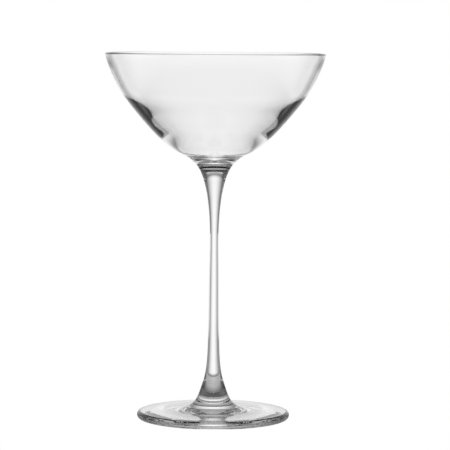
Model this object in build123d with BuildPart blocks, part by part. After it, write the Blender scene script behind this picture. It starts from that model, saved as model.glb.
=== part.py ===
from build123d import *
import os

# A martini glass: a wide bowl, a drawn solid stem and a flat round foot. The three gathers of
# clear glass are fused end to end, so neighbours share one curved face.
# Millimetres, +Z up, origin at the centre of the plane that the glass rests on.

# Driving dimensions
height = 175.0            # resting plane to the top of the lip
rim_radius = 52.5         # outside of the lip
lip_thickness = 1.2       # wall at the fire-polished lip
bowl_floor = 130.1        # inside of the bowl on the axis
bowl_seat_radius = 10.64  # outside of the weld between bowl and stem
bowl_seat_height = 123.9
bowl_seat_sag = 3.0       # the bowl's round underside sinks this far into the stem's cup
stem_radius = 2.23        # narrowest place, a little above the middle of the stem
stem_waist_height = 72.0
foot_seat_radius = 4.42   # outside of the weld between stem and foot
foot_seat_height = 19.6
foot_seat_sag = 1.2       # the stem's domed end sinks this far into the foot
foot_radius = 36.5
foot_edge_thickness = 3.68
foot_edge_radius = foot_edge_thickness / 2
rest_ring_inner = 29.0    # inside this radius the underside is hollowed
underside_rise = 1.1      # how far the hollow rises at the centre

# Places worked out from them
lip_radius = lip_thickness / 2
lip_base = height - lip_radius
bowl_seat = (bowl_seat_radius, bowl_seat_height)
bowl_bottom = (0, bowl_seat_height - bowl_seat_sag)
foot_seat = (foot_seat_radius, foot_seat_height)
stem_end = (0, foot_seat_height - foot_seat_sag)
foot_edge_centre = foot_radius - foot_edge_radius
seat_slope = (1.16, 1.0)         # the outline's direction where bowl and stem meet
foot_slope = (-0.28, 1.0)        # the outline's direction where stem and foot meet

# Outlines as (radius, height) between the places above
bowl_outside = [(19.3, 128.95), (28.5, 136.6), (37.0, 146.1), (44.3, 155.8), (49.3, 165.3)]
bowl_inside = [
    (9.0, 127.15),
    (18.7, 132.64),
    (27.9, 140.64),
    (35.4, 147.96),
    (39.0, 151.5),
    (42.1, 155.15),
    (44.6, 159.2),
    (49.2, 168.5),
]
stem_flare = [(6.46, 118.0), (3.96, 109.6), (2.68, 100.6)]
stem_foot_end = [(2.45, 50.0), (2.72, 36.0), (3.3, 26.0)]
foot_top = [(6.1, 14.4), (9.3, 7.9), (15.0, 4.8), (24.0, 4.3)]

os.makedirs("parts", exist_ok=True)

# The bowl, a thin shell with a thicker round bottom
with BuildPart() as bowl:
    with BuildSketch(Plane.XZ):
        with BuildLine():
            TangentArc(bowl_bottom, bowl_seat, tangent=(1, 0))
            Spline(
                bowl_seat,
                *bowl_outside,
                (rim_radius, lip_base),
                tangents=[seat_slope, (0.2, 1)],
            )
            ThreePointArc(
                (rim_radius, lip_base),
                (rim_radius - lip_radius, height),
                (rim_radius - lip_thickness, lip_base),
            )
            Spline(
                (rim_radius - lip_thickness, lip_base),
                *reversed(bowl_inside),
                (0, bowl_floor),
                tangents=[(-0.2, -1), (-1, 0)],
            )
            Line((0, bowl_floor), bowl_bottom)
        make_face()
    revolve(axis=Axis.Z)
bowl.part.label = "bowl"
export_step(bowl.part, "parts/bowl.step")

# The stem, a solid rod drawn thin between its cup and its domed end
with BuildPart() as stem:
    with BuildSketch(Plane.XZ):
        with BuildLine():
            TangentArc(bowl_bottom, bowl_seat, tangent=(1, 0))
            Spline(
                bowl_seat,
                *stem_flare,
                (stem_radius, stem_waist_height),
                *stem_foot_end,
                foot_seat,
                tangents=[(-seat_slope[0], -seat_slope[1]), (-foot_slope[0], -foot_slope[1])],
            )
            TangentArc(stem_end, foot_seat, tangent=(1, 0))
            Line(stem_end, bowl_bottom)
        make_face()
    revolve(axis=Axis.Z)
stem.part.label = "stem"
export_step(stem.part, "parts/stem.step")

# The foot, a disc with a rounded edge, raised to a collar at the stem and hollowed underneath
with BuildPart() as foot:
    with BuildSketch(Plane.XZ):
        with BuildLine():
            TangentArc(stem_end, foot_seat, tangent=(1, 0))
            Spline(
                foot_seat,
                *foot_top,
                (foot_edge_centre, foot_edge_thickness),
                tangents=[(-foot_slope[0], -foot_slope[1]), (1, 0)],
            )
            ThreePointArc(
                (foot_edge_centre, foot_edge_thickness),
                (foot_radius, foot_edge_radius),
                (foot_edge_centre, 0),
            )
            Line((foot_edge_centre, 0), (rest_ring_inner, 0))
            TangentArc((0, underside_rise), (rest_ring_inner, 0), tangent=(1, 0))
            Line((0, underside_rise), stem_end)
        make_face()
    revolve(axis=Axis.Z)
foot.part.label = "foot"
export_step(foot.part, "parts/foot.step")
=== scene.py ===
"""Looks for the martini glass: clear glass bowl, stem and foot in a bright-field studio.

Every length is in millimetres until it becomes a mesh, and the frame's own is metres.
"""

import math

import bmesh
import bpy
import numpy as np
from mathutils import Matrix


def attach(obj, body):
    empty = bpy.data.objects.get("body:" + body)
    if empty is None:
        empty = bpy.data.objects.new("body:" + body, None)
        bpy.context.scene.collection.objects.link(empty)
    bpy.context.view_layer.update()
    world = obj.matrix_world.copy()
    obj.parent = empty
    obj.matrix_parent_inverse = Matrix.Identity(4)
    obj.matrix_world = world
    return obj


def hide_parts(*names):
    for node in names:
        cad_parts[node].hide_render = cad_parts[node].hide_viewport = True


MM = 0.001

# ---- The glass, as (radius, height) outlines that match the CAD ----
HEIGHT = 175.0
RIM_RADIUS = 52.5
LIP_THICKNESS = 1.2
BOWL_FLOOR = 130.1
BOWL_SEAT = (10.64, 123.9)
BOWL_SEAT_SAG = 3.0
STEM_WAIST = (2.23, 72.0)
FOOT_SEAT = (4.42, 19.6)
FOOT_SEAT_SAG = 1.2
FOOT_RADIUS = 36.5
FOOT_EDGE_RADIUS = 1.84
REST_RING_INNER = 29.0
UNDERSIDE_RISE = 1.1
SEAT_SLOPE = (1.16, 1.0)
FOOT_SLOPE = (-0.28, 1.0)
LIP_SLOPE = (0.2, 1.0)
BOWL_OUTSIDE = [(19.3, 128.95), (28.5, 136.6), (37.0, 146.1), (44.3, 155.8), (49.3, 165.3)]
BOWL_INSIDE = [
    (9.0, 127.15),
    (18.7, 132.64),
    (27.9, 140.64),
    (35.4, 147.96),
    (39.0, 151.5),
    (42.1, 155.15),
    (44.6, 159.2),
    (49.2, 168.5),
]
STEM_FLARE = [(6.46, 118.0), (3.96, 109.6), (2.68, 100.6)]
STEM_FOOT_END = [(2.45, 50.0), (2.72, 36.0), (3.3, 26.0)]
FOOT_TOP = [(6.1, 14.4), (9.3, 7.9), (15.0, 4.8), (24.0, 4.3)]

# ---- How finely the glass is lathed ----
STEP = 0.45
SEGMENTS = 256
LIP_POINTS = 13
FOOT_EDGE_POINTS = 25
REST_RING_POINTS = 8
ON_AXIS = 1e-6  # a smaller radius than this is the axis itself
GLASS_SLOT = 0
WELD_SLOT = 1

# ---- The camera, worked out from how the rim and the foot foreshorten ----
CAMERA_DISTANCE = 1180.0
CAMERA_HEIGHT = 187.8
CAMERA_OFFSET = 5.1
CAMERA_PITCH = 4.59
CAMERA_ROLL = 0.42
CAMERA_LENS = 198.2
CAMERA_SENSOR = 36.0
CAMERA_CLIP = (0.01, 50.0)  # metres


# ---- Outlines ----
def smooth_line(points, start, end):
    """A cubic spline through points that leaves along start and arrives along end, sampled every STEP."""
    points = np.array(points, float)
    gaps = np.hypot(*np.diff(points, axis=0).T)
    along = np.concatenate([[0.0], np.cumsum(gaps)])
    count = len(points)
    ends = [np.array(end_slope, float) / np.hypot(*end_slope) for end_slope in (start, end)]
    matrix = np.zeros((count, count))
    matrix[0, :2] = 2 * gaps[0], gaps[0]
    matrix[-1, -2:] = gaps[-1], 2 * gaps[-1]
    for i in range(1, count - 1):
        matrix[i, i - 1 : i + 2] = gaps[i - 1], 2 * (gaps[i - 1] + gaps[i]), gaps[i]
    slopes = np.diff(points, axis=0) / gaps[:, None]
    turns = 6 * np.diff(np.vstack([ends[0], slopes, ends[1]]), axis=0)
    bends = np.linalg.solve(matrix, turns)
    at = np.linspace(0, along[-1], int(along[-1] / STEP) + 2)
    k = np.clip(np.searchsorted(along, at, side="right") - 1, 0, count - 2)
    gap = gaps[k][:, None]
    after = (at - along[k])[:, None] / gap
    before = 1 - after
    return (
        before * points[k]
        + after * points[k + 1]
        + ((before**3 - before) * bends[k] + (after**3 - after) * bends[k + 1]) * gap**2 / 6
    )


def dome(edge, sag):
    """The round face of a weld, from the axis, sag below the edge, out to the edge."""
    radius, top = edge
    sphere = (radius**2 + sag**2) / (2 * sag)
    spread = math.asin(radius / sphere)
    angles = np.linspace(0, spread, int(sphere * spread / STEP) + 2)
    return np.column_stack([sphere * np.sin(angles), top - sag + sphere * (1 - np.cos(angles))])


def half_round(centre, radius, first, last, count):
    """A circular arc about centre between two angles in degrees."""
    angles = np.radians(np.linspace(first, last, count))
    return np.column_stack([centre[0] + radius * np.cos(angles), centre[1] + radius * np.sin(angles)])


def reverse(slope):
    return (-slope[0], -slope[1])


def bowl_skin():
    lip_radius = LIP_THICKNESS / 2
    lip_base = HEIGHT - lip_radius
    outside = smooth_line([BOWL_SEAT, *BOWL_OUTSIDE, (RIM_RADIUS, lip_base)], SEAT_SLOPE, LIP_SLOPE)
    lip = half_round((RIM_RADIUS - lip_radius, lip_base), lip_radius, 0, 180, LIP_POINTS)
    inside = smooth_line(
        [(RIM_RADIUS - LIP_THICKNESS, lip_base), *reversed(BOWL_INSIDE), (0, BOWL_FLOOR)],
        reverse(LIP_SLOPE),
        (-1, 0),
    )
    return np.vstack([outside[:-1], lip, inside[1:]])


def stem_skin():
    points = [BOWL_SEAT, *STEM_FLARE, STEM_WAIST, *STEM_FOOT_END, FOOT_SEAT]
    return smooth_line(points, reverse(SEAT_SLOPE), reverse(FOOT_SLOPE))


def foot_skin():
    edge = FOOT_RADIUS - FOOT_EDGE_RADIUS
    top = smooth_line([FOOT_SEAT, *FOOT_TOP, (edge, 2 * FOOT_EDGE_RADIUS)], reverse(FOOT_SLOPE), (1, 0))
    rim = half_round((edge, FOOT_EDGE_RADIUS), FOOT_EDGE_RADIUS, 90, -90, FOOT_EDGE_POINTS)
    ring = np.linspace((edge, 0.0), (REST_RING_INNER, 0.0), REST_RING_POINTS)
    underside = dome((REST_RING_INNER, 0.0), -UNDERSIDE_RISE)[::-1]
    return np.vstack([top[:-1], rim, ring[1:], underside[1:]])


# ---- Meshes ----
def place_mesh(name, mesh):
    data = bpy.data.meshes.new(name)
    mesh.to_mesh(data)
    mesh.free()
    made = bpy.data.objects.new(name, data)
    bpy.context.scene.collection.objects.link(made)
    return made


def lathe(name, skin, caps):
    """A closed solid of revolution, with skin as its glass surface and caps as its fused faces."""
    mesh = bmesh.new()
    turn = [2 * math.pi * i / SEGMENTS for i in range(SEGMENTS)]

    def ring(point):
        radius, height = point
        if radius < ON_AXIS:
            return [mesh.verts.new((0, 0, height * MM))]
        reach = radius * MM
        return [mesh.verts.new((reach * math.cos(a), reach * math.sin(a), height * MM)) for a in turn]

    def wall(lower, upper, material):
        for i in range(SEGMENTS):
            j = (i + 1) % SEGMENTS
            corners = [
                lower[i % len(lower)],
                lower[j % len(lower)],
                upper[j % len(upper)],
                upper[i % len(upper)],
            ]
            face = mesh.faces.new(list(dict.fromkeys(corners)))
            face.material_index = material
            face.smooth = True

    rings = [ring(point) for point in skin]
    for lower, upper in zip(rings, rings[1:]):
        wall(lower, upper, GLASS_SLOT)
    for cap, outer in caps(rings):
        inner = [ring(point) for point in cap[:-1]] + [outer]
        for lower, upper in zip(inner, inner[1:]):
            wall(lower, upper, WELD_SLOT)
        for i in range(SEGMENTS):
            edge = mesh.edges.get((outer[i], outer[(i + 1) % SEGMENTS]))
            edge.smooth = False
    bmesh.ops.recalc_face_normals(mesh, faces=mesh.faces)
    return place_mesh(name, mesh)


def build_pieces(glass, weld):
    bowl_cap = dome(BOWL_SEAT, BOWL_SEAT_SAG)
    foot_cap = dome(FOOT_SEAT, FOOT_SEAT_SAG)
    shapes = {
        "bowl": (bowl_skin(), lambda rings: [(bowl_cap, rings[0])]),
        "stem": (stem_skin(), lambda rings: [(bowl_cap, rings[0]), (foot_cap, rings[-1])]),
        "foot": (foot_skin(), lambda rings: [(foot_cap, rings[0])]),
    }
    for node, (skin, caps) in shapes.items():
        piece = lathe(node + "_glass", skin, caps)
        piece.data.materials.append(glass)
        piece.data.materials.append(weld)
        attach(piece, "root")
        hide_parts(node)


# ---- Materials ----
GLASS_IOR = 1.52
POLISH_SCALE = 60.0
POLISH_DETAIL = 3.0
POLISH_RANGE = (0.35, 0.7)
POLISH_ROUGHNESS = (0.0, 0.012)
STRIAE_SCALE = 130.0
STRIAE_DETAIL = 2.0
STRIAE_STRETCH = (1.0, 1.0, 0.3)
STRIAE_STRENGTH = 0.1
STRIAE_DEPTH = 0.0001


class Nodes:
    """Short ways to write arithmetic in a node tree."""

    def __init__(self, tree):
        self.tree = tree

    def node(self, kind, output=0, **settings):
        made = self.tree.nodes.new(kind)
        for name, value in settings.items():
            setattr(made, name, value)
        return made, made.outputs[output]

    def feed(self, socket, value):
        if isinstance(value, bpy.types.NodeSocket):
            self.tree.links.new(value, socket)
        else:
            socket.default_value = value

    def math(self, operation, first, second=0.0):
        made, result = self.node("ShaderNodeMath", operation=operation)
        self.feed(made.inputs[0], first)
        self.feed(made.inputs[1], second)
        return result

    def ramp(self, value, low, high, start=0.0, end=1.0):
        """start at low or less, end at high or more, and a smooth step between."""
        made, result = self.node("ShaderNodeMapRange", interpolation_type="SMOOTHSTEP")
        for socket, given in zip(made.inputs, (value, low, high, start, end)):
            self.feed(socket, given)
        return result

    def split(self, vector):
        made, _ = self.node("ShaderNodeSeparateXYZ")
        self.tree.links.new(vector, made.inputs[0])
        return made.outputs

    def degrees(self, radians):
        return self.math("MULTIPLY", radians, math.degrees(1))


def new_material(name):
    material = bpy.data.materials.new(name)
    material.use_nodes = True
    tree = material.node_tree
    tree.nodes.clear()
    return material, tree, tree.nodes.new("ShaderNodeOutputMaterial")


def blown_glass():
    """Clear glass with faint striae from blowing and drawing, and a polish that varies a little."""
    material, tree, output = new_material("blown_glass")
    use = Nodes(tree)
    shader = tree.nodes.new("ShaderNodeBsdfPrincipled")
    shader.inputs["Base Color"].default_value = (1.0, 1.0, 1.0, 1)
    shader.inputs["Transmission Weight"].default_value = 1.0
    shader.inputs["IOR"].default_value = GLASS_IOR
    place = use.node("ShaderNodeTexCoord", "Object")[1]

    polish, cloud = use.node("ShaderNodeTexNoise")
    use.feed(polish.inputs["Vector"], place)
    use.feed(polish.inputs["Scale"], POLISH_SCALE)
    use.feed(polish.inputs["Detail"], POLISH_DETAIL)
    use.feed(shader.inputs["Roughness"], use.ramp(cloud, *POLISH_RANGE, *POLISH_ROUGHNESS))

    stretch, drawn = use.node("ShaderNodeMapping")
    use.feed(stretch.inputs["Vector"], place)
    use.feed(stretch.inputs["Scale"], STRIAE_STRETCH)
    striae, waves = use.node("ShaderNodeTexNoise")
    use.feed(striae.inputs["Vector"], drawn)
    use.feed(striae.inputs["Scale"], STRIAE_SCALE)
    use.feed(striae.inputs["Detail"], STRIAE_DETAIL)
    bump, normal = use.node("ShaderNodeBump")
    use.feed(bump.inputs["Height"], waves)
    use.feed(bump.inputs["Strength"], STRIAE_STRENGTH)
    use.feed(bump.inputs["Distance"], STRIAE_DEPTH)
    use.feed(shader.inputs["Normal"], normal)
    tree.links.new(shader.outputs[0], output.inputs["Surface"])
    return material


def fused_face():
    """Where two gathers of glass are fused there is no surface left, so light goes straight on."""
    material, tree, output = new_material("fused_glass")
    shader = tree.nodes.new("ShaderNodeBsdfTransparent")
    tree.links.new(shader.outputs[0], output.inputs["Surface"])
    return material


# ---- Studio ----
# A bright-field set: a lit backdrop behind the glass, repeated at its sides and front, an overhead
# light, and a dark room between them, so that the glass draws its own edges as dark lines. Looked at
# directly, the room and the floor are plain white: only the glass sees the pattern.
# Azimuth is in degrees from straight behind the glass, either way round, and elevation is in degrees.
BACKDROP_LEVEL = 0.95
BACKDROP_SPREAD = 51
SIDE_LEVEL = 0.8
SIDE_SPREAD = 50
BACKDROP_TOP = (20, 34)
OVERHEAD_LEVEL = 0.31
OVERHEAD_EDGE_BEHIND = 28
OVERHEAD_EDGE_FRONT = 86
OVERHEAD_TURN = (18, 115)
OVERHEAD_SOFT = 7
ROOM_LEVEL = 0.04


def build_world():
    world = bpy.data.worlds.new("studio")
    bpy.context.scene.world = world
    world.use_nodes = True
    tree = world.node_tree
    tree.nodes.clear()
    output = tree.nodes.new("ShaderNodeOutputWorld")
    light = tree.nodes.new("ShaderNodeBackground")
    light.inputs["Color"].default_value = (1, 1, 1, 1)
    tree.links.new(light.outputs[0], output.inputs[0])
    use = Nodes(tree)
    x, y, z = use.split(use.node("ShaderNodeTexCoord", "Generated")[1])
    azimuth = use.math("ABSOLUTE", use.degrees(use.math("ARCTAN2", x, y)))
    elevation = use.degrees(use.math("ARCSINE", z))

    from_side = use.math("ABSOLUTE", use.math("SUBTRACT", azimuth, 90))
    from_front = use.math("SUBTRACT", 180, azimuth)
    behind = use.ramp(azimuth, 0, BACKDROP_SPREAD, 1, 0)
    around = use.ramp(use.math("MINIMUM", from_side, from_front), 0, SIDE_SPREAD, SIDE_LEVEL, 0)
    height = use.ramp(elevation, *BACKDROP_TOP, BACKDROP_LEVEL, 0)
    backdrop = use.math("MULTIPLY", use.math("MAXIMUM", behind, around), height)

    edge = use.ramp(azimuth, *OVERHEAD_TURN, OVERHEAD_EDGE_BEHIND, OVERHEAD_EDGE_FRONT)
    over_edge = use.math("SUBTRACT", elevation, edge)
    overhead = use.ramp(over_edge, -OVERHEAD_SOFT, OVERHEAD_SOFT, 0, OVERHEAD_LEVEL)

    studio = use.math("ADD", use.math("MAXIMUM", backdrop, overhead), ROOM_LEVEL)
    seen = use.node("ShaderNodeLightPath", "Is Camera Ray")[1]
    use.feed(light.inputs["Strength"], use.math("MAXIMUM", studio, seen))


# The floor is an emission sheet with painted light and a painted shadow: it glows brighter behind the
# glass and further out around it, and dimmer near it, most of all under the middle of the foot. It is a
# round sheet just below the resting plane.
FLOOR_RADIUS = 1.5
FLOOR_SEGMENTS = 128
FLOOR_DROP = 0.0002
FLOOR_PLAIN = 0.26
FLOOR_BEHIND = 1.0
FLOOR_BEHIND_TURN = (2, 49)
FLOOR_BEHIND_NEAR = (0.04, 0.06)
FLOOR_AROUND = 0.8
FLOOR_AROUND_TURN = (36, 48)
FLOOR_AROUND_NEAR = (0.18, 0.28)
FLOOR_CENTRE = 0.1
FLOOR_FOOT = 0.45
FLOOR_FOOT_NEAR = (0.014, 0.026)
FLOOR_SHADOW = (0.036, 0.042)


def build_floor():
    material, tree, output = new_material("floor_painted_light_and_shadow")
    glow = tree.nodes.new("ShaderNodeEmission")
    tree.links.new(glow.outputs[0], output.inputs["Surface"])
    use = Nodes(tree)
    x, y, _ = use.split(use.node("ShaderNodeTexCoord", "Object")[1])
    azimuth = use.math("ABSOLUTE", use.degrees(use.math("ARCTAN2", x, y)))
    radius = use.math("SQRT", use.math("ADD", use.math("MULTIPLY", x, x), use.math("MULTIPLY", y, y)))
    # Painted light: the glow is raised behind the glass and further out around it.
    around = use.math(
        "MULTIPLY",
        use.ramp(azimuth, *FLOOR_AROUND_TURN),
        use.ramp(radius, *FLOOR_AROUND_NEAR, 0, FLOOR_AROUND),
    )
    behind = use.math(
        "MULTIPLY",
        use.ramp(azimuth, *FLOOR_BEHIND_TURN, 1, 0),
        use.ramp(radius, *FLOOR_BEHIND_NEAR, 0, FLOOR_BEHIND),
    )
    lit = use.math("MAXIMUM", FLOOR_PLAIN, use.math("MAXIMUM", around, behind))
    # Painted shadow near the glass, darkest under the middle of the foot.
    under = use.ramp(radius, *FLOOR_FOOT_NEAR, FLOOR_CENTRE, FLOOR_FOOT)
    outside = use.ramp(radius, *FLOOR_SHADOW)
    covered = use.math("MULTIPLY", under, use.math("SUBTRACT", 1.0, outside))
    shaded = use.math("ADD", use.math("MULTIPLY", lit, outside), covered)
    seen = use.node("ShaderNodeLightPath", "Is Camera Ray")[1]
    use.feed(glow.inputs["Strength"], use.math("MAXIMUM", shaded, seen))
    mesh = bmesh.new()
    bmesh.ops.create_circle(mesh, cap_ends=True, segments=FLOOR_SEGMENTS, radius=FLOOR_RADIUS)
    bmesh.ops.translate(mesh, verts=mesh.verts, vec=(0, 0, -FLOOR_DROP))
    floor = place_mesh("floor", mesh)
    floor.data.materials.append(material)


# ---- Camera ----
def build_camera():
    camera = bpy.data.cameras.new("camera")
    camera.lens = CAMERA_LENS
    camera.sensor_width = CAMERA_SENSOR
    camera.clip_start, camera.clip_end = CAMERA_CLIP
    holder = bpy.data.objects.new("camera", camera)
    bpy.context.scene.collection.objects.link(holder)
    place = Matrix.Translation((CAMERA_OFFSET * MM, -CAMERA_DISTANCE * MM, CAMERA_HEIGHT * MM))
    tilt = Matrix.Rotation(math.radians(90 - CAMERA_PITCH), 4, "X")
    roll = Matrix.Rotation(math.radians(CAMERA_ROLL), 4, "Z")
    holder.matrix_world = place @ tilt @ roll
    bpy.context.scene.camera = holder


# ---- Light paths ----
# Light that has met this many faces without getting out is dropped. That keeps the wedges low in the
# bowl dark: followed for longer, the light trapped there finds its way out and fills them.
GLASS_FACES = 8
WELD_CROSSINGS = 32


def light_paths():
    scene = bpy.context.scene
    scene.view_settings.view_transform = "Standard"
    scene.cycles.max_bounces = GLASS_FACES
    scene.cycles.transmission_bounces = GLASS_FACES
    scene.cycles.glossy_bounces = GLASS_FACES
    scene.cycles.transparent_max_bounces = WELD_CROSSINGS
    scene.cycles.blur_glossy = 0.0
    scene.cycles.sample_clamp_indirect = 0.0


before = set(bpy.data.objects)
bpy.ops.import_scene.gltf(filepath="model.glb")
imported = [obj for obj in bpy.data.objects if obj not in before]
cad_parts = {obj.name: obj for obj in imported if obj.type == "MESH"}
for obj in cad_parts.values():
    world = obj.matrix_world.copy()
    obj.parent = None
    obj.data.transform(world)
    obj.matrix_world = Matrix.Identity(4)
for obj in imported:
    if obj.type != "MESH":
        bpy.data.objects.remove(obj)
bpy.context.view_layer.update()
build_pieces(blown_glass(), fused_face())
build_world()
build_floor()
build_camera()
light_paths()
